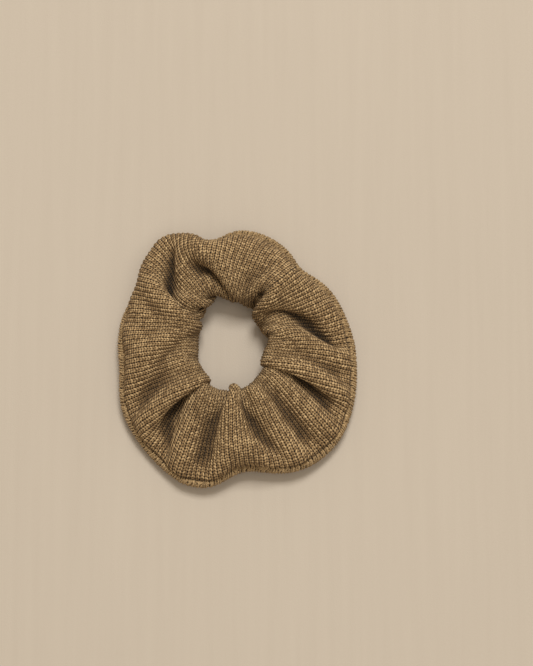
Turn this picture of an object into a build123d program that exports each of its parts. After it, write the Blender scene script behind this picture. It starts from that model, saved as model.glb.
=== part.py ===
"""A gathered knit scrunchie lying flat: a knit tube on an elastic loop, its long edges overlocked together
round the outside, and its two ends sewn to each other. Millimetres, +Z up, opening through Z."""

import math
import os

from build123d import *

# The opening that the hair goes through, and the gathered tube round it.
hole_x, hole_y = 15.5, 21.0        # half width and half length of the relaxed opening
tube_height = 26.0                 # the gathered tube, standing on the table
wall = 1.2                         # one layer of the knit
flat_depth = 0.8                   # how far the resting underside is pressed flat

# The outer edge, where the overlocked seam runs: its lobes' crests, the notches between them and the slopes
# from one to the next, as azimuth, radius from the loop's centre, and height of the seam.
rim_points = [
    (-102, 67.5, 6.0), (-90, 59.5, 7.5), (-78, 59.0, 8.0), (-66, 64.0, 7.5),      # crest, notch, slope
    (-51, 67.5, 6.0), (-34, 64.0, 5.5), (-14, 58.5, 6.5), (6, 54.0, 8.5),         # crest, long slope
    (24, 51.0, 9.0), (47, 45.0, 10.0), (58, 48.5, 9.5), (84, 51.0, 8.5),      # closing seam's notch, crest
    (100, 46.0, 6.5), (113, 52.0, 4.5), (126, 55.5, 3.5), (147, 48.5, 3.5),       # notch, crest, notch
    (170, 50.5, 5.5), (196, 51.0, 7.5), (216, 58.0, 6.0), (238, 63.0, 4.5),       # flat side, slope
]

# The gathers: the tube puffs out between these azimuths and is pinched in at each of them.
half_gap = 0.5                     # degrees left open on each side of the plane where the halves part
closing_seam = 47                  # azimuth where the tube's two ends meet
left_creases = (90 + half_gap, 112, 136, 160, 186, 216, 246, 270 - half_gap)
right_creases = (-90 + half_gap, -66, -43, -4, 24, closing_seam, 66, 90 - half_gap)
crease_fullness = 0.74             # the tube's thickness at a crease, as a share of the full one
crease_inset = 2.6                 # how far the opening's edge steps out at a crease

# The tube's section: half its thickness, as a share of half its height, from the opening (0) to the rim (1).
section_shape = [(0.08, 0.55), (0.30, 1.0), (0.60, 0.78), (0.82, 0.40), (0.95, 0.16)]
hollow_shape = section_shape[:3]
hollow_end = 0.84                  # past here the two layers lie together, out to the rim

# The seam round the outer edge.
overlock_width, overlock_height = 3.2, 3.0
thread_inset = 3.6                 # the needle thread's distance in from the rim
thread_radius = 0.35

# The elastic, a flat band on edge, with its two ends lapped and stitched.
elastic_inset = 6.0                # from the opening to the middle of the band
elastic_width, elastic_thickness = 5.0, 1.2
lap_from, lap_to, lap_eased = 38, 56, 74
lap_step = elastic_thickness + 0.05
join_stitch_angles = range(41, 54, 3)
join_thread = 0.4
join_span = 3.4

# The short hand stitches across the closing seam.
closing_stitch_shares = (0.2, 0.35, 0.5, 0.65, 0.8)
closing_stitch_length, closing_stitch_radius = 3.0, 0.35

middle = tube_height / 2
lap_before = [(azimuth - 360, radius, height) for azimuth, radius, height in rim_points[-2:]]
lap_after = [(azimuth + 360, radius, height) for azimuth, radius, height in rim_points[:3]]
rim_rows = lap_before + rim_points + lap_after


def at(azimuth, radius, height):
    t = math.radians(azimuth)
    return Vector(radius * math.cos(t), radius * math.sin(t), height)


def hole_radius(azimuth, inset=0.0):
    """The radius of the opening's oval, or of one a set distance outside it, at an azimuth."""
    a, b = hole_x + inset, hole_y + inset
    t = math.radians(azimuth)
    return a * b / math.hypot(b * math.cos(t), a * math.sin(t))


def rim_at(azimuth):
    """The rim's radius and height at an azimuth, on a smooth closed curve through its points."""
    i = max(k for k, row in enumerate(rim_rows) if row[0] <= azimuth)
    before, here, after, beyond = rim_rows[i - 1:i + 3]
    span = after[0] - here[0]
    s = (azimuth - here[0]) / span
    found = []
    for k in (1, 2):
        rise = after[k] - here[k]
        leaving = (after[k] - before[k]) / (after[0] - before[0]) * span
        arriving = (beyond[k] - here[k]) / (beyond[0] - here[0]) * span
        bend = 3 * rise - 2 * leaving - arriving + s * (leaving + arriving - 2 * rise)
        found.append(here[k] + s * (leaving + s * bend))
    return found


def centre_height(share, seam_height):
    """The height midway through the tube, from the elastic's height down to the seam's."""
    return middle + (seam_height - middle) * share**2


def closed(points):
    return Wire([Edge.make_spline(points, periodic=True)])


def ring_of(azimuth, inner, outer, seam_height, shape, fullness, inset, end):
    """A closed section: out over the top from the opening to the rim, and back underneath."""
    top, bottom = [], []
    floor_inset = 2 * inset           # the inside stays clear of where the underside is pressed flat
    for share, thickness in shape:
        half = middle * thickness * fullness
        radius = inner + (outer - inner) * share
        height = centre_height(share, seam_height)
        top.append(at(azimuth, radius, height + half - inset))
        bottom.append(at(azimuth, radius, height - half + floor_inset))
    start = at(azimuth, inner + inset, middle)
    stop = at(azimuth, inner + (outer - inner) * end, centre_height(end, seam_height))
    return closed([start, *top, stop, *reversed(bottom)])


def tube_bounds(azimuth, fullness):
    """The radii where the tube's section begins and ends, and the seam's height there."""
    pinch = (1 - fullness) / (1 - crease_fullness)
    rim, seam_height = rim_at(azimuth)
    return hole_radius(azimuth) + crease_inset * pinch, rim - overlock_width / 2, seam_height


def tube_section(azimuth, fullness):
    return ring_of(azimuth, *tube_bounds(azimuth, fullness), section_shape, fullness, 0.0, 1.0)


def hollow_section(azimuth, fullness):
    return ring_of(azimuth, *tube_bounds(azimuth, fullness), hollow_shape, fullness, wall, hollow_end)


def oval(azimuth, radius, height, across, up):
    """A small upright oval section of a seam or a thread."""
    turns = [math.tau * i / 8 for i in range(8)]
    return closed([at(azimuth, radius + across * math.cos(t), height + up * math.sin(t)) for t in turns])


def overlock_section(azimuth, fullness):
    rim, seam_height = rim_at(azimuth)
    return oval(azimuth, rim - overlock_width / 2, seam_height, overlock_width / 2, overlock_height / 2)


def half_thickness(share, fullness):
    """Half the tube's thickness, a share of the way out from the opening to the rim."""
    i = max(k for k, row in enumerate(section_shape[:-1]) if row[0] <= share)
    (s0, t0), (s1, t1) = section_shape[i:i + 2]
    return middle * fullness * (t0 + (t1 - t0) * (share - s0) / (s1 - s0))


def thread_section(azimuth, fullness):
    """The needle thread, half sunk in the upper face a little in from the overlocked edge."""
    inner, outer, seam_height = tube_bounds(azimuth, fullness)
    radius = outer + overlock_width / 2 - thread_inset
    share = (radius - inner) / (outer - inner)
    height = centre_height(share, seam_height) + half_thickness(share, fullness)
    return oval(azimuth, radius, height, thread_radius, thread_radius)


def gathers(section, creases):
    """The stretches of a section along the ring, each puffed between its two creases and pinched at them."""
    puffs = []
    for start, stop in zip(creases, creases[1:]):
        sections = []
        for share in (0, 0.2, 0.5, 0.8, 1):
            fullness = crease_fullness + (1 - crease_fullness) * math.sin(math.pi * share) ** 0.6
            sections.append(section(start + (stop - start) * share, fullness))
        puffs.append(Solid.make_loft(sections))
    return puffs


def gathered(section, creases):
    """All of a section's gathers as one solid."""
    puffs = gathers(section, creases)
    return puffs[0].fuse(*puffs[1:]).solid()


below = Box(400, 400, 20, align=(Align.CENTER, Align.CENTER, Align.MAX)).solid()


def cut(solid, tools):
    """What is left of a solid once each tool is taken out of it."""
    left = [solid]
    for tool in tools:
        left = [piece for s in left for piece in (s - tool).solids()]
    return left


def elastic_strip(start, stop, offset):
    """A stretch of the elastic band between two azimuths. offset(azimuth) moves it outwards."""
    turns = [start + (stop - start) * i / 12 for i in range(13)]
    bottom = middle - elastic_width / 2
    rows = []
    for edge in (-elastic_thickness / 2, elastic_thickness / 2):
        rows.append([at(t, hole_radius(t, elastic_inset) + offset(t) + edge, bottom) for t in turns])
    inner, outer = rows
    outline = Wire([
        Edge.make_spline(inner),
        Edge.make_line(inner[-1], outer[-1]),
        Edge.make_spline(outer),
        Edge.make_line(outer[0], inner[0]),
    ])
    return Solid.extrude(Face(outline), Vector(0, 0, elastic_width))


def on_line(azimuth):
    return 0.0


def stepped_out(azimuth):
    """The upper end of the band lies outside the lower one, then eases back to its line."""
    share = min(1.0, max(0.0, (azimuth - lap_to - 2) / (lap_eased - lap_to - 2)))
    return lap_step * (1 + math.cos(math.pi * share)) / 2


def join_stitch(azimuth):
    """One stitch through both ends of the band: a bar on each face and two legs through."""
    radius = hole_radius(azimuth, elastic_inset) + lap_step / 2
    depth = elastic_thickness + lap_step + 2 * join_thread
    frame = Box(depth, join_thread, join_span)
    core = Box(depth - 2 * join_thread, 2 * join_thread, join_span - 2 * join_thread)
    return (Pos(0, 0, middle) * Rot(0, 0, azimuth) * Pos(radius, 0, 0) * (frame - core)).solid()


def closing_stitch(share, up):
    """One short stitch lying across the closing seam, on the upper or the lower face."""
    inner, outer, seam_height = tube_bounds(closing_seam, crease_fullness)
    half = half_thickness(share, crease_fullness)
    height = centre_height(share, seam_height) + (half if up else -half)
    centre = at(closing_seam, inner + (outer - inner) * share, height)
    return (Pos(*centre) * Rot(0, 0, closing_seam) * Rot(90, 0, 0)
            * Cylinder(closing_stitch_radius, closing_stitch_length)).solid()


join = [join_stitch(a) for a in join_stitch_angles]
closing = [closing_stitch(share, up) for share in closing_stitch_shares for up in (True, False)]

nodes = {}
for half, creases, stitches in (("left", left_creases, []), ("right", right_creases, closing)):
    thread = gathered(thread_section, creases)
    bead = gathered(overlock_section, creases)
    tools = [Pos(0, 0, flat_depth) * below, thread, *stitches]
    tubes = gathers(tube_section, creases)
    hollows = gathers(hollow_section, creases)
    cover = []
    for tube, hollow in zip(tubes, hollows):
        cover += cut(tube, [hollow, *tools])
    nodes[f"knit_cover_{half}"] = cover
    nodes[f"edge_overlock_{half}"] = cut(bead, tubes)
    nodes[f"edge_seam_thread_{half}"] = [thread]

nodes["elastic_band_left"] = [elastic_strip(90 + half_gap, 270 - half_gap, on_line)]
nodes["elastic_band_right"] = (
    cut(elastic_strip(-90 + half_gap, lap_to, on_line), join)
    + cut(elastic_strip(lap_from, 90 - half_gap, stepped_out), join)
)
nodes["elastic_join_stitches"] = join
nodes["closing_stitches"] = closing

# The origin is under the middle of the whole, on the table.
box = Compound([s for solids in nodes.values() for s in solids]).bounding_box()
to_origin = Pos(-box.center().X, -box.center().Y, -flat_depth)

os.makedirs("parts", exist_ok=True)
for name, solids in nodes.items():
    export_step(Compound([to_origin * s for s in solids]), f"parts/{name}.step")
    print(name, len(solids), round(sum(s.volume for s in solids), 1))
print("size", box.size, "shift", -box.center())
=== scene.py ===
"""Looks for the scrunchie, in metres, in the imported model's frame.

A knit tube is gathered on its elastic by a cloth simulation, and gets its overlocked edge, its seam threads,
its closing seam and its elastic. It lies on a pale floor."""

import math

import bmesh
import bpy
import numpy as np
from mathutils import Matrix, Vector


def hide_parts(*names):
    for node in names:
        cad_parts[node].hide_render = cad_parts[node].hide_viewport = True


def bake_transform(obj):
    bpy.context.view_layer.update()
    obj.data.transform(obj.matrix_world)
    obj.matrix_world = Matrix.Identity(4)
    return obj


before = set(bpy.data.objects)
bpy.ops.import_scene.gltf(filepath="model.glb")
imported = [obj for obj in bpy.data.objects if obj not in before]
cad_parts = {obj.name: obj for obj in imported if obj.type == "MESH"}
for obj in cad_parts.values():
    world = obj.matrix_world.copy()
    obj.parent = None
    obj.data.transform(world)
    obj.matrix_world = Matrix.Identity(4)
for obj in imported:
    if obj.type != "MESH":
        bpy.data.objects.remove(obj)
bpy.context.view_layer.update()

# The knit: its wales run round the tube, and its courses along the ring.
WALES = 160                    # round the ring, from the closing seam to itself
COURSES = 74                   # round the tube, from the outer edge to itself
ALONG, ROUND_TUBE = 184, 40    # simulated points along the ring, and round the tube at each
TUBE = 0.088                   # the strip's cut width, once round the tube
STRIP_EASE = 1.01              # the strip's length, as a share of the finished outer edge's
EDGE_BEAD = 0.0012             # the outer edge's bead stands this far outside the simulated cloth
CLOSING_SEAM = math.radians(47)         # the azimuth of the seam that joins the strip's ends
BAND_THICKNESS = 0.0012        # of the elastic

# ------------------------------------------------------------------ short helpers

TINY = 1e-15                   # added to a length before dividing by it


def unit(vectors):
    """The vectors, each made 1 long."""
    return vectors / (np.linalg.norm(vectors, axis=-1, keepdims=True) + TINY)


def distance_along(points):
    """How far along the line through the points each of them lies."""
    return np.concatenate([[0], np.cumsum(np.linalg.norm(np.diff(points, axis=0), axis=1))])


def angle_between(angle, other):
    """The angle from one azimuth to another, the shorter way round and never negative."""
    return np.abs((angle - other + np.pi) % math.tau - np.pi)


def smoothed(values, axis):
    """Each value of a closed row mixed with its two neighbours."""
    return (np.roll(values, 1, axis) + 2 * values + np.roll(values, -1, axis)) / 4


def outwards(grid):
    """At each point of a grid round the tube, a vector out of it, as long as the area of its four cells."""
    return np.cross(np.roll(grid, -1, 0) - np.roll(grid, 1, 0), np.roll(grid, -1, 1) - np.roll(grid, 1, 1))


# ------------------------------------------------------------------ what the CAD says

EDGE_STEP = 3                  # degrees between the places where the outer edge is read
EDGE_WINDOW = math.radians(2.5)         # each reading looks at vertices up to this far away
EDGE_SMOOTHINGS = 2


def vertices(*names):
    """Every vertex of the named CAD nodes."""
    found = []
    for name in names:
        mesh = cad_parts[name].data
        co = np.zeros(len(mesh.vertices) * 3, np.float32)
        mesh.vertices.foreach_get("co", co)
        found.append(co.reshape(-1, 3).astype(float))
    return np.vstack(found)


band_points = vertices("elastic_band_left", "elastic_band_right")
band_low, band_high = band_points.min(0), band_points.max(0)
centre = (band_low + band_high) / 2
BAND_WIDTH = band_high[2] - band_low[2]
ring_x, ring_y = (band_high[:2] - band_low[:2] - BAND_THICKNESS) / 2


def ring_radius(angle, beyond=0.0):
    """The radius of the elastic's oval, or of one a set distance outside it."""
    a, b = ring_x + beyond, ring_y + beyond
    return a * b / np.hypot(b * np.cos(angle), a * np.sin(angle))


def polar(points):
    """Each point's azimuth and radius about the elastic's middle."""
    offset = points[:, :2] - centre[:2]
    return np.arctan2(offset[:, 1], offset[:, 0]), np.hypot(offset[:, 0], offset[:, 1])


def edge_line():
    """The line the cloth's outer edge follows, just inside the CAD's overlocked bead, evenly spaced."""
    points = vertices("edge_overlock_left", "edge_overlock_right")
    angle, radius = polar(points)
    every = np.radians(np.arange(0, 360, EDGE_STEP)) + CLOSING_SEAM
    profile = np.zeros((len(every), 2))                # the radius and the height at each azimuth
    for i, azimuth in enumerate(every):
        near = angle_between(angle, azimuth) < EDGE_WINDOW
        outermost = radius[near].max()
        at_edge = near & (radius > outermost - EDGE_BEAD)
        profile[i] = outermost - EDGE_BEAD, points[at_edge, 2].mean()
    for _ in range(EDGE_SMOOTHINGS):
        profile = smoothed(profile, 0)
    line = np.stack([
        centre[0] + profile[:, 0] * np.cos(every),
        centre[1] + profile[:, 0] * np.sin(every),
        profile[:, 1],
    ], 1)
    line = np.vstack([line, line[:1]])
    run = distance_along(line)
    steps = np.linspace(0, run[-1], ALONG + 1)[:-1]
    return np.stack([np.interp(steps, run, line[:, k]) for k in range(3)], 1), run[-1]


edge, edge_length = edge_line()
STRIP = edge_length * STRIP_EASE
edge_angle, edge_radius = polar(edge)


def rim_radius(angle):
    """The outer edge's radius at each azimuth."""
    order = np.argsort(edge_angle)
    three_turns = np.concatenate([edge_angle[order] + turn for turn in (-math.tau, 0, math.tau)])
    return np.interp(angle, three_turns, np.tile(edge_radius[order], 3))


# ------------------------------------------------------------------ the cloth

# Where the gathers are pinched in: azimuth in degrees, how deeply, and how hard the elastic holds them.
PINCHES = [
    (0, 1.2, 1.0), (29, 0.8, 0.0), (48, 1.0, 0.6), (80, 0.35, 0.0), (113, 1.3, 1.0), (132, 0.6, 0.0),
    (157, 1.0, 0.6), (184, 0.5, 0.0), (252, 1.1, 1.0), (290, 0.9, 0.6), (318, 0.7, 0.3),
]
START_HALF_HEIGHT = 0.0075     # of the tube before its cloth grows
START_PUFF, START_DIP = 0.35, 0.45      # how far it rises between pinches and dips at them, as shares of that
PUFF_SPAN, WIDEST_SPAN = 36, 50         # degrees: the span that puffs fully, and the one that puffs most
START_PULL = 0.0022            # how far a pinch draws the cloth in at the opening
START_AT_EDGE, START_GAIN = 0.40, 0.75  # of it: the share at the outer edge, and the gain at the opening
START_ROUGHNESS = 0.00015
STEPS = 1200
GROWING = 0.6                  # the share of the steps over which the cloth grows to its full size
STEP_TIME = 0.004
DRAG = 0.98                    # the share of its speed that the cloth keeps at each step
GRAVITY = 0.6
PRESSURE = 0.6                 # the knit's springiness, which keeps the tube from lying flat
SQUEEZE = 0.38                 # the share of its length along the ring that the cloth loses at the elastic
CLOTH_GAP = 0.0023             # between the middles of two layers that touch
SEAM_GAP = 0.0012              # between the two layers at the outer seam
SEAM_WIDTH = 0.0028            # the seam stands out this far from the puffed cloth
SEAM_RISE = 0.0003
SEAM_SLACK = 0.0002            # the rows beside the seam are this much nearer to it than in flat cloth
LOBE_AT, LOBE_HALF_WIDTH = 134, 30      # the one lobe that hangs over the seam, in degrees
LOBE_OVERHANG = 0.0055
LEAST_SAG = 0.0046             # how far the cloth may sag inside the elastic, and where the outer edge
FULL_SPAN = 0.033              # is nearer to the elastic than this, a share of the rest as well
SPAN_SAG = 0.25                # that share
FLOOR_GAP = 0.0011
BAND_ROUND = 0.0034            # the elastic with the cloth wrapped round it
TOP_SPEED = 0.15
PINCH_HOLD = 0.15              # each hold is the share of an error that one step puts right
SEAM_HOLD = 0.25
RIM_HOLD = 0.15
SAG_HOLD = 0.10
TOUCH_HOLD = 0.3
FLOOR_GRIP = 0.6
TOUCH_SEARCH = 8               # steps between two searches for cloth that is near other cloth
TOUCH_REACH = 1.7              # how far each search looks, in gaps
SAME_CLOTH = 2                 # points this few steps apart in the cloth don't touch
PINCH_ROWS = range(-3, 5)      # the rows of points round the elastic that a pinch holds
NEAR_ZERO = 1e-12              # keeps a spring or a touch from dividing by zero
DECIMALS = 8                   # of a metre, kept at each step
SEED = 7


def gathered_start():
    """The tube before its cloth grows: a smooth ring, pinched where the gathers will be."""
    rng = np.random.default_rng(SEED)
    turn = edge_angle % math.tau
    pinch_at = np.radians([p[0] for p in PINCHES])
    strength = np.array([p[1] for p in PINCHES])
    before = np.searchsorted(pinch_at, turn, side="right") - 1
    after = (before + 1) % len(PINCHES)
    span = (pinch_at[after] - pinch_at[before]) % math.tau
    share = (turn - pinch_at[before]) % math.tau / span
    pinch = np.cos(math.tau * share)
    weight = strength[before] * (1 - share) + strength[after] * share
    puff = START_PUFF * np.minimum(np.degrees(span), WIDEST_SPAN) / PUFF_SPAN * (1 - pinch) / 2
    dip = START_DIP * weight * (1 + pinch) / 2
    half = START_HALF_HEIGHT * (1 + puff - dip)

    round_tube = np.arange(ROUND_TUBE) / ROUND_TUBE * math.tau    # 0 at the outer edge
    out = (1 + np.cos(round_tube))[None, :] / 2                   # 1 at the outer edge, 0 at the opening
    inner = ring_radius(edge_angle, -LEAST_SAG)
    radius = inner[:, None] + (edge_radius - inner)[:, None] * out
    radius += START_PULL * (weight * pinch)[:, None] * (1 - out) ** 2
    height = centre[2] + (edge[:, 2] - centre[2])[:, None] * out**2
    height = height + half[:, None] * np.sin(round_tube) * (START_AT_EDGE + START_GAIN * (1 - out))
    cloth = np.stack([
        centre[0] + radius * np.cos(edge_angle)[:, None],
        centre[1] + radius * np.sin(edge_angle)[:, None],
        height,
    ], 2)
    cloth += rng.normal(0, START_ROUGHNESS, cloth.shape)
    cloth[:, 0] = edge
    return cloth


def pinched_places():
    """The points that the elastic holds close at each pinch, where it holds them, and how hard."""
    point, place, strength = [], [], []
    for azimuth, _, hold in PINCHES:
        a = math.radians(azimuth)
        nearest = int(angle_between(edge_angle, a).argmin())
        for row in PINCH_ROWS:
            turn = row * TUBE / ROUND_TUBE / BAND_ROUND
            radius = ring_radius(a) - BAND_ROUND * math.cos(turn)
            height = centre[2] + BAND_ROUND * math.sin(turn)
            point.append(nearest * ROUND_TUBE + ROUND_TUBE // 2 - row)
            place.append([centre[0] + radius * math.cos(a), centre[1] + radius * math.sin(a), height])
            strength.append([PINCH_HOLD * hold])
    return np.array(point), np.array(place), np.array(strength)


def links(cloth):
    """The cloth's springs: their two ends, lengths at the start and at full size, and stiffness, and whether
    they only resist being shortened, as a bend does."""
    along, across = np.arange(ALONG), np.arange(ROUND_TUBE)
    round_tube = across / ROUND_TUBE * math.tau
    step_along = STRIP / ALONG * (1 - SQUEEZE * (1 - np.cos(round_tube)) / 2)
    step_round = TUBE / ROUND_TUBE
    kinds = [                  # steps along and round, stiffness, and whether it is a bend
        (1, 0, 1.0, False), (0, 1, 1.0, False), (1, 1, 0.25, False), (1, -1, 0.25, False),
        (2, 0, 0.5, True), (0, 2, 0.5, True), (4, 0, 0.2, True), (0, 4, 0.2, True),
    ]
    made = []
    for i_step, j_step, stiffness, bends in kinds:
        full = np.hypot(i_step * (step_along + np.roll(step_along, -j_step)) / 2, j_step * step_round)
        full = np.tile(full, (ALONG, 1))
        if (i_step, j_step) == (1, 0):
            full[:, 0] = edge_length / ALONG
        rows, stride = (along, i_step) if i_step else (across, abs(j_step))
        for parity in (0, 1):
            chosen = rows[(rows // stride) % 2 == parity]
            a_rows = chosen if i_step else along
            a_cols = across if i_step else chosen
            a = a_rows[:, None] * ROUND_TUBE + a_cols[None, :]
            b = ((a_rows + i_step) % ALONG)[:, None] * ROUND_TUBE + ((a_cols + j_step) % ROUND_TUBE)[None, :]
            a, b = a.ravel(), b.ravel()
            start = np.linalg.norm(cloth.reshape(-1, 3)[b] - cloth.reshape(-1, 3)[a], axis=1)
            made.append((a, b, start, full.ravel()[a], stiffness, bends))
    return made


# A cell of the search grid and half of those around it, so that each pair of cells is looked at once.
NEIGHBOURS = [
    (0, 0, 0), (1, 0, 0), (-1, 1, 0), (0, 1, 0), (1, 1, 0), (-1, -1, 1), (0, -1, 1), (1, -1, 1),
    (-1, 0, 1), (0, 0, 1), (1, 0, 1), (-1, 1, 1), (0, 1, 1), (1, 1, 1),
]


def close_pairs(points, reach):
    """Pairs of points nearer than reach that aren't neighbours in the cloth."""
    cell = np.floor(points / reach).astype(np.int64)
    cell -= cell.min(0) - 1
    size = cell.max(0) + 2
    key = (cell[:, 0] * size[1] + cell[:, 1]) * size[2] + cell[:, 2]
    order = np.argsort(key, kind="stable")
    ordered = key[order]
    found = []
    for x, y, z in NEIGHBOURS:
        offset = (x * size[1] + y) * size[2] + z
        first = np.searchsorted(ordered, ordered + offset, "left")
        last = np.searchsorted(ordered, ordered + offset, "right")
        count = last - first
        a = np.repeat(np.arange(len(ordered)), count)
        b = np.arange(count.sum()) - np.repeat(np.cumsum(count) - count, count) + np.repeat(first, count)
        if offset == 0:
            a, b = a[b > a], b[b > a]
        found.append(np.stack([order[a], order[b]]))
    a, b = np.hstack(found)
    i_gap = np.abs(a // ROUND_TUBE - b // ROUND_TUBE)
    i_gap = np.minimum(i_gap, ALONG - i_gap)
    j_a, j_b = a % ROUND_TUBE, b % ROUND_TUBE
    j_gap = np.abs(j_a - j_b)
    j_gap = np.minimum(j_gap, ROUND_TUBE - j_gap)
    near = ((points[a] - points[b]) ** 2).sum(1) < reach**2
    from_edge = np.maximum(np.minimum(j_a, ROUND_TUBE - j_a), np.minimum(j_b, ROUND_TUBE - j_b))
    in_seam = (from_edge <= SAME_CLOTH) & (i_gap <= SAME_CLOTH)
    keep = (i_gap + j_gap > SAME_CLOTH) & near & ~in_seam
    return a[keep], b[keep]


def seam_places():
    """The points of the stitched seam and where they are held: the edge, and the row on each side of it."""
    edge_row = np.arange(ALONG) * ROUND_TUBE
    run = np.roll(edge, -1, 0) - np.roll(edge, 1, 0)
    inwards = np.stack([-run[:, 1], run[:, 0], 0 * run[:, 0]], 1)
    inwards /= np.linalg.norm(inwards, axis=1, keepdims=True)
    middle = edge + inwards * (TUBE / ROUND_TUBE - SEAM_SLACK) + [0, 0, SEAM_RISE]
    half_gap = np.array([0, 0, SEAM_GAP / 2])
    point = np.concatenate([edge_row, edge_row + 1, edge_row + ROUND_TUBE - 1])
    return point, np.concatenate([edge, middle + half_gap, middle - half_gap])


def rim_margins():
    """How far inside the outer edge each point stays: above the seam by its width, but less at the one lobe
    that hangs over it."""
    across = np.tile(np.arange(ROUND_TUBE), ALONG)
    above_seam = (across > 1) & (across < ROUND_TUBE / 2)
    lobe = (edge_angle - math.radians(LOBE_AT)) / math.radians(LOBE_HALF_WIDTH)
    overhang = LOBE_OVERHANG * np.sqrt(np.cos(np.clip(lobe, -1, 1) * math.pi / 2))
    return np.where(above_seam, SEAM_WIDTH - np.repeat(overhang, ROUND_TUBE), 0.0)


def pull_springs(p, springs, grown):
    """Moves each spring's ends towards its length, which grows from the one at the start to the full one."""
    for a, b, start, full, stiffness, bends in springs:
        d = p[b] - p[a]
        length = np.sqrt((d * d).sum(1)) + NEAR_ZERO
        error = length - (start + (full - start) * grown)
        if bends:
            error = np.minimum(error, 0)
        d *= (0.5 * stiffness * error / length)[:, None]
        p[a] += d
        p[b] -= d


def keep_in_ring(p, margins):
    """Keeps the cloth inside its outer edge, and drawn up against the elastic, which it wraps."""
    angle, radius = polar(p)
    rim = rim_radius(angle)
    # Inside the outer edge.
    over = radius - rim + margins
    out = over > 0
    p[out, :2] -= (p[out, :2] - centre[:2]) * (RIM_HOLD * over[out] / radius[out])[:, None]
    # Drawn up against the elastic.
    ring = ring_radius(angle)
    from_ring, above = radius - ring, p[:, 2] - centre[2]
    may_sag = LEAST_SAG + SPAN_SAG * np.maximum(0, FULL_SPAN - (rim - ring))
    slack = -may_sag - from_ring
    loose = slack > 0
    p[loose, :2] += (p[loose, :2] - centre[:2]) * (SAG_HOLD * slack[loose] / radius[loose])[:, None]
    # Wrapped over the elastic.
    away = np.hypot(from_ring, above) + NEAR_ZERO
    hit = away < BAND_ROUND
    push = (BAND_ROUND - away[hit]) / away[hit]
    p[hit, 0] += from_ring[hit] * push * np.cos(angle[hit])
    p[hit, 1] += from_ring[hit] * push * np.sin(angle[hit])
    p[hit, 2] += above[hit] * push


def push_apart(p, pairs):
    """Moves the points of each pair apart where the cloth touches itself."""
    a, b = pairs
    d = p[b] - p[a]
    squared = (d * d).sum(1)
    touch = squared < CLOTH_GAP**2
    a, b, d = a[touch], b[touch], d[touch]
    length = np.sqrt(squared[touch]) + NEAR_ZERO
    d *= (TOUCH_HOLD * (length - CLOTH_GAP) / length)[:, None]
    touches = np.bincount(a, minlength=len(p)) + np.bincount(b, minlength=len(p))
    for k in range(3):
        moved = np.bincount(a, d[:, k], len(p)) - np.bincount(b, d[:, k], len(p))
        p[:, k] += moved / np.maximum(1, touches * 0.5)


def settle():
    """Grows the cloth to its full size round the elastic, and lets it fold and come to rest."""
    cloth = gathered_start()
    springs = links(cloth)
    seam, seam_at = seam_places()
    held, held_at, held_by = pinched_places()
    margins = rim_margins()
    patch = 4 * (TUBE / ROUND_TUBE) * (STRIP / ALONG)  # the area of four cells of flat cloth
    p = cloth.reshape(-1, 3)
    speed = np.zeros_like(p)
    for step in range(STEPS):
        grown = min(1.0, step / (STEPS * GROWING))
        grown = grown * grown * (3 - 2 * grown)
        speed *= DRAG
        speed[:, 2] -= GRAVITY * STEP_TIME
        push = outwards(p.reshape(ALONG, ROUND_TUBE, 3)).reshape(-1, 3)
        speed += push * (PRESSURE * STEP_TIME / patch)
        was = p.copy()
        p += speed * STEP_TIME
        pull_springs(p, springs, grown)
        p[seam] += (seam_at - p[seam]) * SEAM_HOLD
        keep_in_ring(p, margins)
        p[held] += (held_at - p[held]) * held_by
        if step % TOUCH_SEARCH == 0:
            pairs = close_pairs(p, CLOTH_GAP * TOUCH_REACH)
        push_apart(p, pairs)
        # The table. Rounding makes the folds more likely to be the same on another machine.
        low = p[:, 2] < FLOOR_GAP
        p[low, 2] = FLOOR_GAP
        p[:] = np.round(p, DECIMALS)
        speed[:] = (p - was) / STEP_TIME
        speed[low, :2] *= FLOOR_GRIP
        pace = np.linalg.norm(speed, axis=1)
        fast = pace > TOP_SPEED
        speed[fast] *= (TOP_SPEED / pace[fast])[:, None]
    return p.reshape(ALONG, ROUND_TUBE, 3)


cloth = settle()

# ------------------------------------------------------------------ the finished surface

PER_WALE = 7                   # mesh columns for each wale of the knit
EDGE_ROWS, EDGE_ROW_STEP = 13, 0.0004   # the mesh's rows each side of the edge, which lie closer together
FAR_ROWS = 61                  # and its rows round the rest of the tube
HALF_CLOTH = 0.0009            # half the knit's thickness
WALE_RELIEF = 0.00020
WALE_FADE = 0.001              # the wales reach their full relief this far past the needle line
GROOVE_AT = 0.0023             # the needle line, this far in from the edge
GROOVE_DEPTH, GROOVE_HALF_WIDTH = 0.0008, 0.0007
BEAD_RISE, BEAD_HALF_WIDTH = 0.0003, 0.0016
LAP_RISE, LAP_HALF_WIDTH = 0.0005, 0.9  # the closing seam's ridge: metres, and wales
EDGE_CORNER = 0.004            # the cloth is creased at the edge, and rounded off by this far from it
HOLLOW_REACH = 10              # passes of smoothing that the cloth around each point gets, to measure how deep it lies for the painted shade in folds and creases
MM = 1000                      # millimetres in a metre, for UVs and attributes


def spline(points, places, smooth):
    """points along axis 0 of a closed loop, read at fractional places. smooth is 1 for a B-spline, which
    rounds the corners off, and 0 for one that goes through every point."""
    n = len(points)
    first = np.floor(places).astype(int)
    s = (places - first).reshape((-1,) + (1,) * (points.ndim - 1))
    a, b, c, d = (points[(first + k) % n] for k in (-1, 0, 1, 2))
    through = b + s * ((c - a) + s * ((2 * a - 5 * b + 4 * c - d) + s * (3 * (b - c) + d - a))) / 2
    rounded = (
        (1 - s) ** 3 * a + (3 * s**3 - 6 * s**2 + 4) * b + (-3 * s**3 + 3 * s**2 + 3 * s + 1) * c + s**3 * d
    ) / 6
    smooth = np.reshape(smooth, (-1,) + (1,) * (points.ndim - 1)) if np.ndim(smooth) else smooth
    return through + (rounded - through) * smooth


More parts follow.
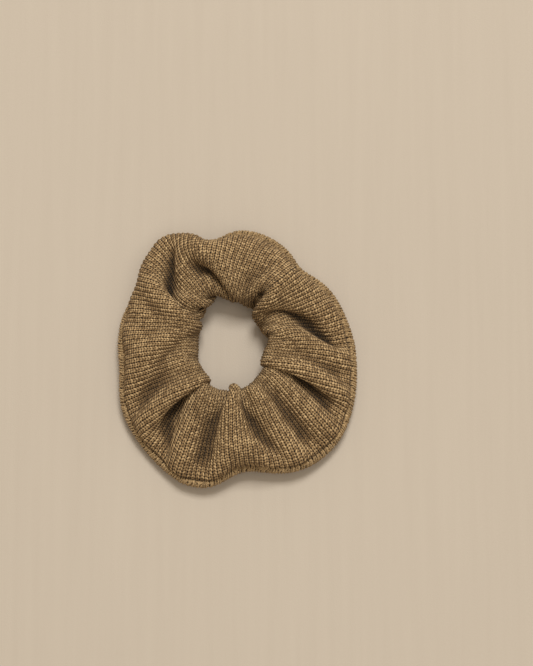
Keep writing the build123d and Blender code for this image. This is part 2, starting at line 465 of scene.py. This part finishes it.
def places_round_tube():
    """Where the mesh's rows lie round the tube, in metres from the outer edge."""
    near = np.arange(EDGE_ROWS + 1) * EDGE_ROW_STEP
    far = np.linspace(near[-1], TUBE - near[-1], FAR_ROWS + 2)[1:-1]
    return np.concatenate([near, far, TUBE - near[:0:-1]])


def hollowness(grid):
    """How far each point lies below the cloth around it, in metres: less than 0 on a crest."""
    around = grid
    for _ in range(HOLLOW_REACH):
        around = smoothed(smoothed(around, 0), 1)
    return ((around - grid) * unit(outwards(grid))).sum(2)


def finer(grid):
    """A grid of the simulated cloth's points, read at the mesh's columns and rows."""
    along = spline(grid, columns / WALES * ALONG, 1.0)
    return np.swapaxes(spline(np.swapaxes(along, 0, 1), rows / TUBE * ROUND_TUBE, 1 - near_edge), 0, 1)


rows = places_round_tube()
from_edge = np.minimum(rows, TUBE - rows)
near_edge = np.exp(-((from_edge / EDGE_CORNER) ** 2))
columns = np.arange(WALES * PER_WALE) / PER_WALE
surface = finer(cloth)
# Each point's depth below the cloth around it, which sets the painted shade in folds and creases.
hollow_shade_depths = finer(hollowness(cloth))
surface_normals = unit(outwards(surface))

# How far the knit's face stands out from the cloth's middle: less at the stitched groove, more at the bead.
stand_out = HALF_CLOTH - GROOVE_DEPTH * np.exp(-(((from_edge - GROOVE_AT) / GROOVE_HALF_WIDTH) ** 2))
stand_out = stand_out + BEAD_RISE * np.exp(-((from_edge / BEAD_HALF_WIDTH) ** 2))
wale_fade = np.clip((from_edge - GROOVE_AT) / WALE_FADE, 0, 1)
relief = WALE_RELIEF * np.cos(math.tau * (columns + 0.5))[:, None] * wale_fade[None, :]
seam_lap = np.minimum(columns, WALES - columns)
lap = LAP_RISE * np.exp(-((seam_lap / LAP_HALF_WIDTH) ** 2))[:, None] * wale_fade[None, :]
face = surface + surface_normals * (stand_out[None, :] + relief + lap)[:, :, None]
face[:, :, 2] = np.maximum(face[:, :, 2], 0.0)
face_normals = unit(outwards(face))


def on_face(u, v, lift):
    """The point above the knit's face at u wales along and v metres round the tube, and the normal there."""
    i = np.mod(u * PER_WALE, len(face))
    j = np.interp(np.mod(v, TUBE), np.append(rows, TUBE), np.arange(len(rows) + 1))
    i0, j0 = np.floor(i).astype(int), np.floor(j).astype(int)
    s, t = (i - i0)[..., None], (j - j0)[..., None]
    i0, i1 = i0 % len(face), (i0 + 1) % len(face)
    j0, j1 = j0 % len(rows), (j0 + 1) % len(rows)
    found = []
    for grid in (face, face_normals):
        low = grid[i0, j0] * (1 - t) + grid[i0, j1] * t
        high = grid[i1, j0] * (1 - t) + grid[i1, j1] * t
        found.append(low * (1 - s) + high * s)
    point, normal = found[0], unit(found[1])
    return point + normal * lift, normal


# ------------------------------------------------------------------ meshes

scene = bpy.context.scene


def add_mesh(name, points, faces, uvs, uv_name):
    """A smooth-shaded mesh object. uvs is one pair for each face corner."""
    mesh = bpy.data.meshes.new(name)
    mesh.from_pydata(points.reshape(-1, 3).tolist(), [], faces)
    layer = mesh.uv_layers.new(name=uv_name)
    layer.data.foreach_set("uv", np.asarray(uvs, np.float32).ravel())
    mesh.polygons.foreach_set("use_smooth", np.ones(len(mesh.polygons), bool))
    mesh.update()
    made = bpy.data.objects.new(name, mesh)
    scene.collection.objects.link(made)
    return made


def grid_faces(n, m, close_n, close_m):
    """The quads of an n by m grid, and each corner's place in the grid before it wraps."""
    i, j = np.meshgrid(np.arange(n if close_n else n - 1), np.arange(m if close_m else m - 1), indexing="ij")
    i, j = i.ravel(), j.ravel()
    corner_i = np.stack([i, i + 1, i + 1, i], 1)
    corner_j = np.stack([j, j, j + 1, j + 1], 1)
    return (corner_i % n) * m + corner_j % m, corner_i, corner_j


YARN_UV_STEP = 37.0            # each yarn's UVs start this far past the last one's, to tell the yarns apart
TIP_LENGTH = 0.6               # of a yarn's rounded end, in radii


def add_tubes(name, paths, ups, radius, sides=6):
    """Round yarns along paths, an array of shape (yarns, points, 3), with closed, rounded ends."""
    count, steps = paths.shape[:2]
    ahead = unit(np.gradient(paths, axis=1))
    side = unit(np.cross(ahead, ups))
    up = np.cross(side, ahead)
    turn = np.arange(sides) / sides * math.tau
    ring = side[:, :, None] * np.cos(turn)[:, None] + up[:, :, None] * np.sin(turn)[:, None]
    widths = np.broadcast_to(radius, (steps,))[None, :, None, None]
    body = paths[:, :, None] + ring * widths
    ends = np.stack([
        paths[:, 0] - ahead[:, 0] * widths[:, 0, :, 0] * TIP_LENGTH,
        paths[:, -1] + ahead[:, -1] * widths[:, -1, :, 0] * TIP_LENGTH,
    ], 1)
    quads, corner_i, corner_j = grid_faces(steps, sides, False, True)
    points = np.concatenate([body.reshape(count, -1, 3), ends], 1)
    each = points.shape[1]
    run = distance_along(paths[0])
    quad_uv = np.stack([run[corner_i] * MM, corner_j / sides], 2)
    around = np.arange(sides)
    next_round = (around + 1) % sides
    start_tip, end_tip, end_ring = steps * sides, steps * sides + 1, (steps - 1) * sides
    caps = np.concatenate([
        np.stack([np.full(sides, start_tip), next_round, around], 1),
        np.stack([np.full(sides, end_tip), end_ring + around, end_ring + next_round], 1),
    ])
    faces = []
    for k in range(count):
        faces += (quads + k * each).tolist() + (caps + k * each).tolist()
    shift = np.stack([np.arange(count) * YARN_UV_STEP, np.zeros(count)], 1)[:, None, None]
    body_uv = (quad_uv[None] + shift).reshape(count, -1, 2)
    cap_uv = np.broadcast_to(shift[:, 0], (count, caps.size, 2))
    return add_mesh(name, points, faces, np.concatenate([body_uv, cap_uv], 1), "yarn")


def knit_cover():
    """The whole cloth, closed round the tube and round the ring."""
    n, m = face.shape[:2]
    quads, corner_i, corner_j = grid_faces(n, m, True, True)
    course_at = np.append(rows, TUBE) / TUBE * COURSES
    uvs = np.stack([corner_i / PER_WALE, course_at[corner_j]], 2)
    made = add_mesh("knit_cover", face, quads.tolist(), uvs, "knit")
    # Each point's depth below the cloth around it; the knit material paints shade into the folds and creases
    # by it.
    layer = made.data.attributes.new("hollow_shade", "FLOAT", "POINT")
    layer.data.foreach_set("value", (hollow_shade_depths.ravel() * MM).astype(np.float32))
    return made


# Lengths along the ring are in wales here, and the rest are in metres.
OVERLOCK_STITCHES = 284        # round the whole edge
OVERLOCK_RADIUS, OVERLOCK_THINNING = 0.00036, 0.35      # and the share it loses at its ends
OVERLOCK_SLANT, OVERLOCK_WAVE = 0.42, 0.10
OVERLOCK_WANDER_ALONG, OVERLOCK_WANDER_ACROSS = 0.10, 0.00012
OVERLOCK_LIFT, OVERLOCK_DIVE = 0.00006, 0.00028         # above the knit mid stitch, and down at its ends
NEEDLE_STITCHES = OVERLOCK_STITCHES // 2
NEEDLE_RADIUS, NEEDLE_HALF_LENGTH = 0.00018, 0.58
NEEDLE_LIFT, NEEDLE_DIVE = 0.00012, 0.00032
NEEDLE_CLEAR = 0.0001          # between the groove's middle and the end of the overlock, or the needle thread
CLOSING_STITCHES = 30          # round the tube
CLOSING_RADIUS, CLOSING_HALF_LENGTH, CLOSING_SLANT = 0.00017, 0.55, 0.0005
CLOSING_LIFT, CLOSING_DIVE = 0.00010, 0.0004
CLOSING_ENDS = 0.0045          # they start and end this far from the outer edge


def along_stitch(points):
    """Places along each stitch of a row of them, from -1 to 1."""
    return np.linspace(-1, 1, points)[None, :]


def edge_overlock():
    """Yarn wrapped over the edge from groove to groove, one slanted strand a stitch."""
    k = np.arange(OVERLOCK_STITCHES)[:, None] / OVERLOCK_STITCHES * WALES
    s = along_stitch(points=17)
    rng = np.random.default_rng(SEED + 1)
    wander = rng.normal(0, OVERLOCK_WANDER_ALONG, (OVERLOCK_STITCHES, 1))
    u = k + wander + OVERLOCK_SLANT * s + OVERLOCK_WAVE * np.sin(math.pi * s)
    wander = rng.normal(0, OVERLOCK_WANDER_ACROSS, (OVERLOCK_STITCHES, 1))
    v = s * (GROOVE_AT - NEEDLE_CLEAR) + wander * np.abs(s)
    lift = OVERLOCK_LIFT - OVERLOCK_DIVE * np.abs(s) ** 6 + 0 * u
    paths, ups = on_face(u, v, lift[..., None])
    thickness = OVERLOCK_RADIUS * (1 - OVERLOCK_THINNING * np.abs(s[0]) ** 4)
    return add_tubes("edge_overlock", paths, ups, thickness, sides=8)


def seam_thread(side_of_edge):
    """The needle thread's stitches, in the groove on one side of the edge."""
    k = np.arange(NEEDLE_STITCHES)[:, None] / NEEDLE_STITCHES * WALES
    s = along_stitch(points=9)
    u = k + s * NEEDLE_HALF_LENGTH
    v = side_of_edge * (GROOVE_AT + NEEDLE_CLEAR) + 0 * u
    lift = NEEDLE_LIFT - NEEDLE_DIVE * np.abs(s) ** 4 + 0 * u
    return on_face(u, v, lift[..., None])


def closing_stitches():
    """Short stitches across the seam that joins the strip's ends, all the way round the tube."""
    k = np.linspace(CLOSING_ENDS, TUBE - CLOSING_ENDS, CLOSING_STITCHES)[:, None]
    s = along_stitch(points=9)
    u = s * CLOSING_HALF_LENGTH + 0 * k
    v = k + s * CLOSING_SLANT
    lift = CLOSING_LIFT - CLOSING_DIVE * np.abs(s) ** 4 + 0 * k
    paths, ups = on_face(u, v, lift[..., None])
    return add_tubes("closing_seam_stitches", paths, ups, CLOSING_RADIUS)


BAND_START, LAP_END, LAP_EASED = (math.radians(a) for a in (38, 58, 74))
BAND_END = math.tau + math.radians(56)
BAND_STEPS = 240
BAND_CORNER = 0.0002           # the radius of the elastic's rounded corners
LAP_STEP = BAND_THICKNESS + 0.00005     # between the middles of its two lapped ends
JOIN_FROM, JOIN_TO = math.radians(41), math.radians(54)
JOIN_RADIUS = 0.0002
JOIN_POINTS, JOIN_POINTS_PER_ZIG = 53, 4
JOIN_REACH = 0.34              # of the elastic's width, each way from its middle


def band_line(angle, beyond, up):
    """Points beside the elastic's oval, set distances outside it and above its middle."""
    radius = ring_radius(angle) + beyond
    return np.stack([
        centre[0] + radius * np.cos(angle), centre[1] + radius * np.sin(angle), centre[2] + up + 0 * angle,
    ], -1)


def band_section():
    """The elastic's cross-section, a rectangle with rounded corners: how far out and how high."""
    out, up = BAND_THICKNESS / 2 - BAND_CORNER, BAND_WIDTH / 2 - BAND_CORNER
    section = []
    for x, z, start in ((out, up, 0), (-out, up, 90), (-out, -up, 180), (out, -up, 270)):
        for turn in (0, 45, 90):
            q = math.radians(start + turn)
            section.append((x + BAND_CORNER * math.cos(q), z + BAND_CORNER * math.sin(q)))
    return np.array(section)


def elastic_band():
    """The flat elastic on edge, its start lapped outside its end."""
    angle = np.linspace(BAND_START, BAND_END, BAND_STEPS)
    eased = np.clip((angle - LAP_END) / (LAP_EASED - LAP_END), 0, 1)
    step = LAP_STEP * (1 + np.cos(math.pi * eased)) / 2
    section = band_section()
    points = np.stack([band_line(angle, step + x, z) for x, z in section], 1)
    quads, corner_i, corner_j = grid_faces(len(angle), len(section), False, True)
    run = distance_along(points[:, 0]) * MM
    round_section = distance_along(np.vstack([section, section[:1]])) * MM
    uvs = np.stack([run[corner_i], round_section[corner_j]], 2)
    made = add_mesh("elastic_band", points, quads.tolist(), uvs, "band")
    bm = bmesh.new()
    bm.from_mesh(made.data)
    bmesh.ops.holes_fill(bm, edges=[e for e in bm.edges if e.is_boundary], sides=0)
    bmesh.ops.recalc_face_normals(bm, faces=bm.faces)
    bm.to_mesh(made.data)
    bm.free()
    return made


def elastic_join():
    """Zigzag stitches through both ends of the elastic, on its outer and its inner face."""
    angle = np.linspace(JOIN_FROM, JOIN_TO, JOIN_POINTS)
    zig = np.abs((np.arange(JOIN_POINTS) / JOIN_POINTS_PER_ZIG) % 2 - 1) * 2 - 1
    clear = JOIN_RADIUS / 2
    outside = LAP_STEP + BAND_THICKNESS / 2 + clear
    inside = -BAND_THICKNESS / 2 - clear
    up = zig * BAND_WIDTH * JOIN_REACH
    paths = np.stack([band_line(angle, beyond, up) for beyond in (outside, inside)])
    ups = np.stack([np.stack([np.cos(angle), np.sin(angle), 0 * angle], -1)] * 2)
    return add_tubes("elastic_join", paths, ups, JOIN_RADIUS)


# ------------------------------------------------------------------ materials


class Nodes:
    """A short way to wire up a node material."""

    def __init__(self, name):
        self.material = bpy.data.materials.new(name)
        self.material.use_nodes = True
        self.tree = self.material.node_tree
        self.shader = self.tree.nodes["Principled BSDF"]

    def put(self, socket, value):
        if isinstance(value, bpy.types.NodeSocket):
            self.tree.links.new(value, socket)
        else:
            socket.default_value = value

    def node(self, kind, **settings):
        made = self.tree.nodes.new(kind)
        for key, value in settings.items():
            setattr(made, key, value)
        return made

    def math(self, operation, *values):
        made = self.node("ShaderNodeMath", operation=operation)
        for socket, value in zip(made.inputs, values):
            self.put(socket, value)
        return made.outputs[0]

    def uv(self, name):
        split = self.node("ShaderNodeSeparateXYZ")
        self.put(split.inputs[0], self.node("ShaderNodeUVMap", uv_map=name).outputs[0])
        return split.outputs[0], split.outputs[1]

    def vector(self, x, y, z=0.0):
        made = self.node("ShaderNodeCombineXYZ")
        for socket, value in zip(made.inputs, (x, y, z)):
            self.put(socket, value)
        return made.outputs[0]

    def noise(self, vector, scale, detail=2.0, roughness=0.5):
        made = self.node("ShaderNodeTexNoise")
        self.put(made.inputs["Vector"], vector)
        made.inputs["Scale"].default_value = scale
        made.inputs["Detail"].default_value = detail
        made.inputs["Roughness"].default_value = roughness
        return made.outputs["Fac"]

    def random(self, vector):
        made = self.node("ShaderNodeTexWhiteNoise", noise_dimensions="3D")
        self.put(made.inputs["Vector"], vector)
        return made.outputs["Value"]

    def ramp(self, value, *stops):
        made = self.node("ShaderNodeValToRGB")
        while len(made.color_ramp.elements) < len(stops):
            made.color_ramp.elements.new(1.0)
        for element, (place, colour) in zip(made.color_ramp.elements, stops):
            element.position = place
            element.color = (*colour, 1)
        self.put(made.inputs[0], value)
        return made.outputs[0]

    def mix(self, factor, a, b):
        made = self.node("ShaderNodeMix", data_type="RGBA")
        self.put(made.inputs[0], factor)
        for socket, value in zip(made.inputs[6:8], (a, b)):
            self.put(socket, (*value, 1) if isinstance(value, tuple) else value)
        return made.outputs[2]

    def bump(self, height, distance, strength=1.0):
        made = self.node("ShaderNodeBump")
        made.inputs["Strength"].default_value = strength
        made.inputs["Distance"].default_value = distance
        self.put(made.inputs["Height"], height)
        self.put(self.shader.inputs["Normal"], made.outputs[0])


# The yarn's colours, from dark to light; the dark end is also the painted shade in the eyelets, the gutters
# and the folds.
DARK_AND_SHADE = (0.010, 0.006, 0.003)
MIDDLE = (0.245, 0.149, 0.066)
LIGHT = (0.64, 0.445, 0.225)
WALE_WOBBLE, COURSE_WOBBLE = 0.35, 0.9  # how far wales and courses stray, in wales and in courses
COURSE_SLANT = 0.5             # a leg climbs by this share of a course across half a wale
MID_WALE_GUTTER = 0.55         # the gutter between a wale's two legs, as a share of the one between wales
# Depths of the knit's relief, which is bumped and also painted darker as shade.
EYELET_DEPTH, GUTTER_DEPTH, COURSE_DEPTH = 0.82, 0.34, 0.25
LEG_MARL, FIBRE_MARL, PATCH_MARL = 0.34, 0.60, 0.25     # what each adds to the yarn's mottling
MARL_CONTRAST, PLAIN_TONE = 0.85, 0.30
HOLLOW_SHADE_FROM, HOLLOW_SHADE_TO, HOLLOW_SHADE_TONE = -0.4, 2.4, 0.35   # painted shade in folds and creases: millimetres deep where it starts and where it is full, and the tone at the deepest
FIBRE_BUMP = 0.30


def knit_material():
    """Plain knit: each wale is a cord of slanting legs, and between two wales there is an eyelet at every
    course. The relief is bumped, and its low places are also painted darker as shade, the eyelets darkest."""
    m = Nodes("knit")
    u, v = m.uv("knit")
    wobble = m.math("SUBTRACT", m.noise(m.vector(u, v), scale=0.7), 0.5)
    across = m.math("MULTIPLY_ADD", wobble, WALE_WOBBLE, u)
    along = m.math("MULTIPLY_ADD", wobble, COURSE_WOBBLE, v)
    centred = m.math("SUBTRACT", m.math("FRACT", across), 0.5)
    out = m.math("MULTIPLY", m.math("ABSOLUTE", centred), 2.0)          # 0 mid wale, 1 between wales
    legs = m.math("MULTIPLY", across, 2.0)
    leg_side = m.math("MULTIPLY", m.math("ABSOLUTE", m.math("SUBTRACT", m.math("FRACT", legs), 0.5)), 2.0)
    between_wales = m.math("GREATER_THAN", out, 0.5)
    depth = m.math("MULTIPLY_ADD", between_wales, 1 - MID_WALE_GUTTER, MID_WALE_GUTTER)
    gutter = m.math("MULTIPLY", m.math("POWER", leg_side, 2.0), depth)
    slanted = m.math("MULTIPLY_ADD", out, COURSE_SLANT, along)
    course_wave = m.math("COSINE", m.math("MULTIPLY", slanted, math.tau))
    between_courses = m.math("MULTIPLY_ADD", course_wave, 0.5, 0.5)
    eyelet = m.math("MULTIPLY", gutter, between_courses)
    height = m.math("MULTIPLY_ADD", eyelet, -EYELET_DEPTH, 1.0)
    height = m.math("MULTIPLY_ADD", gutter, -GUTTER_DEPTH, height)
    height = m.math("MULTIPLY_ADD", m.math("POWER", between_courses, 3.0), -COURSE_DEPTH, height)

    course = m.math("FLOOR", slanted)
    each = m.random(m.vector(m.math("FLOOR", legs), course))
    yarn_place = m.vector(m.math("MULTIPLY", u, 6.0), m.math("MULTIPLY", slanted, 2.5))
    fibres = m.noise(yarn_place, scale=1.6, detail=3.0, roughness=0.65)
    patches = m.noise(m.vector(u, v), scale=0.11, detail=3.0, roughness=0.55)
    marl = m.math("ADD", m.math("MULTIPLY", each, LEG_MARL), m.math("MULTIPLY", fibres, FIBRE_MARL))
    marl = m.math("ADD", marl, m.math("MULTIPLY", patches, PATCH_MARL))
    # Painted shade: the tone falls with the relief, darkest in the eyelets, on top of the yarn's own
    # mottling.
    tone_and_shade = m.math("MULTIPLY", height, m.math("MULTIPLY_ADD", marl, MARL_CONTRAST, PLAIN_TONE))
    # Painted shade: the colour is darkened by how deep the cloth lies in its folds and creases.
    hollow_shade = m.node("ShaderNodeMapRange", interpolation_type="SMOOTHSTEP")
    m.put(hollow_shade.inputs["Value"], m.node("ShaderNodeAttribute", attribute_name="hollow_shade").outputs["Fac"])
    hollow_shade.inputs["From Min"].default_value = HOLLOW_SHADE_FROM
    hollow_shade.inputs["From Max"].default_value = HOLLOW_SHADE_TO
    hollow_shade.inputs["To Min"].default_value = 1.0
    hollow_shade.inputs["To Max"].default_value = HOLLOW_SHADE_TONE
    tone_and_shade = m.math("MULTIPLY", tone_and_shade, hollow_shade.outputs["Result"])
    colour = m.ramp(tone_and_shade, (0.20, DARK_AND_SHADE), (0.63, MIDDLE), (0.93, LIGHT))
    m.put(m.shader.inputs["Base Color"], colour)
    m.put(m.shader.inputs["Roughness"], m.math("MULTIPLY_ADD", fibres, 0.15, 0.82))
    m.shader.inputs["Specular IOR Level"].default_value = 0.12
    m.shader.inputs["Sheen Weight"].default_value = 0.04
    m.shader.inputs["Sheen Roughness"].default_value = 0.5
    m.bump(m.math("ADD", height, m.math("MULTIPLY", fibres, FIBRE_BUMP)), distance=0.00060)
    return m.material


YARN_PLIES = 2.0


def yarn_material(name, dark, light, plies_per_mm):
    """Twisted yarn: its plies wind round it, and the grooves between them are painted darker as shade."""
    m = Nodes(name)
    u, v = m.uv("yarn")
    twist = m.math("ADD", m.math("MULTIPLY", u, plies_per_mm), m.math("MULTIPLY", v, YARN_PLIES))
    ply = m.math("MULTIPLY_ADD", m.math("SINE", m.math("MULTIPLY", twist, math.tau)), 0.5, 0.5)
    place = m.vector(m.math("MULTIPLY", u, 3.0), m.math("MULTIPLY", v, 5.0))
    fibres = m.noise(place, scale=2.0, detail=3.0, roughness=0.6)
    each = m.random(m.vector(m.math("FLOOR", m.math("DIVIDE", u, YARN_UV_STEP)), 0.0))
    # Painted shade between the plies, added to the yarn's own fibre mottling and a tone that differs from
    # yarn to yarn.
    tone_and_shade = m.math("ADD", m.math("MULTIPLY", ply, 0.45), m.math("MULTIPLY", fibres, 0.45))
    tone_and_shade = m.math("ADD", tone_and_shade, m.math("MULTIPLY", each, 0.25))
    m.put(m.shader.inputs["Base Color"], m.ramp(tone_and_shade, (0.15, dark), (1.0, light)))
    m.shader.inputs["Roughness"].default_value = 0.85
    m.shader.inputs["Specular IOR Level"].default_value = 0.2
    m.shader.inputs["Sheen Weight"].default_value = 0.1
    m.bump(tone_and_shade, distance=0.00012)
    return m.material


RIB_PITCH, WEFT_PITCH = 0.7, 0.45       # of the elastic's weave, in millimetres
BAND_SHADE, BAND_LIGHT = (0.36, 0.34, 0.30), (0.68, 0.65, 0.58)


def elastic_material():
    """Woven elastic: ribs along the band and a fine weft across it."""
    m = Nodes("elastic")
    u, v = m.uv("band")
    rib = m.math("SINE", m.math("MULTIPLY", v, math.tau / RIB_PITCH))
    weft = m.math("SINE", m.math("MULTIPLY", u, math.tau / WEFT_PITCH))
    height = m.math("MULTIPLY_ADD", rib, 0.3, m.math("MULTIPLY_ADD", weft, 0.2, 0.5))
    m.put(m.shader.inputs["Base Color"], m.ramp(height, (0.0, BAND_SHADE), (1.0, BAND_LIGHT)))
    m.shader.inputs["Roughness"].default_value = 0.75
    m.bump(height, distance=0.0002)
    return m.material


FLOOR_SHADE, FLOOR_LIGHT = (0.485, 0.412, 0.328), (0.570, 0.493, 0.396)


def floor_material():
    """Pale plain cloth, hardly textured: a faint weave, and soft streaks along it."""
    m = Nodes("backdrop")
    place = m.node("ShaderNodeTexCoord").outputs["Object"]
    split = m.node("ShaderNodeSeparateXYZ")
    m.put(split.inputs[0], place)
    x, y = split.outputs[0], split.outputs[1]
    broad = m.noise(place, scale=4.0)
    streak_place = m.vector(m.math("MULTIPLY", x, 220.0), m.math("MULTIPLY", y, 9.0))
    streaks = m.noise(streak_place, scale=1.0, detail=3.0, roughness=0.6)
    weave = m.noise(place, scale=1500.0, detail=1.0)
    blend = m.math("MULTIPLY_ADD", streaks, 0.45, m.math("MULTIPLY", broad, 0.40))
    blend = m.math("MULTIPLY_ADD", weave, 0.25, blend)
    m.put(m.shader.inputs["Base Color"], m.mix(blend, FLOOR_SHADE, FLOOR_LIGHT))
    m.shader.inputs["Roughness"].default_value = 0.95
    m.shader.inputs["Specular IOR Level"].default_value = 0.1
    m.bump(weave, distance=0.0001, strength=0.5)
    return m.material


# ------------------------------------------------------------------ the pieces

knit = knit_material()
overlock_yarn = yarn_material(
    "overlock_yarn", dark=(0.10, 0.058, 0.022), light=(0.60, 0.41, 0.20), plies_per_mm=1.3
)
sewing_thread = yarn_material(
    "sewing_thread", dark=(0.022, 0.014, 0.008), light=(0.10, 0.065, 0.035), plies_per_mm=2.5
)


def joined(piece, material, slot, *nodes):
    """Gives the piece its material, moves its place into its mesh and hides the CAD's nodes that it stands
    for. Every piece runs on across the plane where the CAD's two halves part.
    """
    piece.data.materials.append(material)
    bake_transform(piece)
    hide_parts(*nodes)
    return piece


cover = joined(knit_cover(), knit, "knit", "knit_cover_left", "knit_cover_right")
overlock = joined(
    edge_overlock(), overlock_yarn, "overlock_yarn", "edge_overlock_left", "edge_overlock_right"
)
needle_paths, needle_ups = (np.concatenate(pair) for pair in zip(seam_thread(1), seam_thread(-1)))
needle_thread = add_tubes("edge_seam_thread", needle_paths, needle_ups, NEEDLE_RADIUS)
needle = joined(
    needle_thread, sewing_thread, "sewing_thread", "edge_seam_thread_left", "edge_seam_thread_right"
)
closing = joined(closing_stitches(), sewing_thread, "sewing_thread", "closing_stitches")
elastic = joined(elastic_band(), elastic_material(), "elastic", "elastic_band_left", "elastic_band_right")
joined(elastic_join(), sewing_thread, "sewing_thread", "elastic_join_stitches")

# ------------------------------------------------------------------ floor, light and camera

FLOOR_DROP = 0.0002            # the floor lies this far under the part, so that they don't share a face
bpy.ops.mesh.primitive_plane_add(size=4.0, location=(0, 0, -FLOOR_DROP))
floor = bpy.context.object
floor.name = "floor"
floor.data.materials.append(floor_material())


LIGHT_COLOUR = (0.98, 0.99, 1.0)
SURROUNDINGS_COLOUR = (1.0, 0.86, 0.68, 1)
SURROUNDINGS_STRENGTH = 0.38
LIT_POINT = Vector((0, 0, 0.01))


def area_light(name, place, size, energy):
    """A square soft light, turned to the object."""
    light = bpy.data.lights.new(name, "AREA")
    light.energy, light.size, light.color = energy, size, LIGHT_COLOUR
    made = bpy.data.objects.new(name, light)
    made.location = place
    made.rotation_euler = (LIT_POINT - Vector(place)).to_track_quat("-Z", "Y").to_euler()
    scene.collection.objects.link(made)


area_light("key", place=(0.2, 1.5, 2.6), size=1.0, energy=66.0)
area_light("fill", place=(0.6, -0.5, 2.6), size=2.0, energy=15.0)
world = bpy.data.worlds.new("studio")
world.use_nodes = True
surroundings = world.node_tree.nodes["Background"]
surroundings.inputs["Color"].default_value = SURROUNDINGS_COLOUR
surroundings.inputs["Strength"].default_value = SURROUNDINGS_STRENGTH
scene.world = world
scene.view_settings.view_transform = "Standard"

VIEW_HEIGHT = 0.2997           # what the picture's height takes in where the camera looks, in metres
ELEVATION = math.radians(82)
LENS, SENSOR = 100.0, 36.0     # millimetres
LOOK_AT = np.array([0.0133, 0.0114, 0.008])
camera_data = bpy.data.cameras.new("camera")
camera_data.lens, camera_data.sensor_width = LENS, SENSOR
camera = bpy.data.objects.new("camera", camera_data)
distance = VIEW_HEIGHT * LENS / SENSOR
camera.location = LOOK_AT + distance * np.array([0, -math.cos(ELEVATION), math.sin(ELEVATION)])
camera.rotation_euler = (math.pi / 2 - ELEVATION, 0, 0)
scene.collection.objects.link(camera)
scene.camera = camera
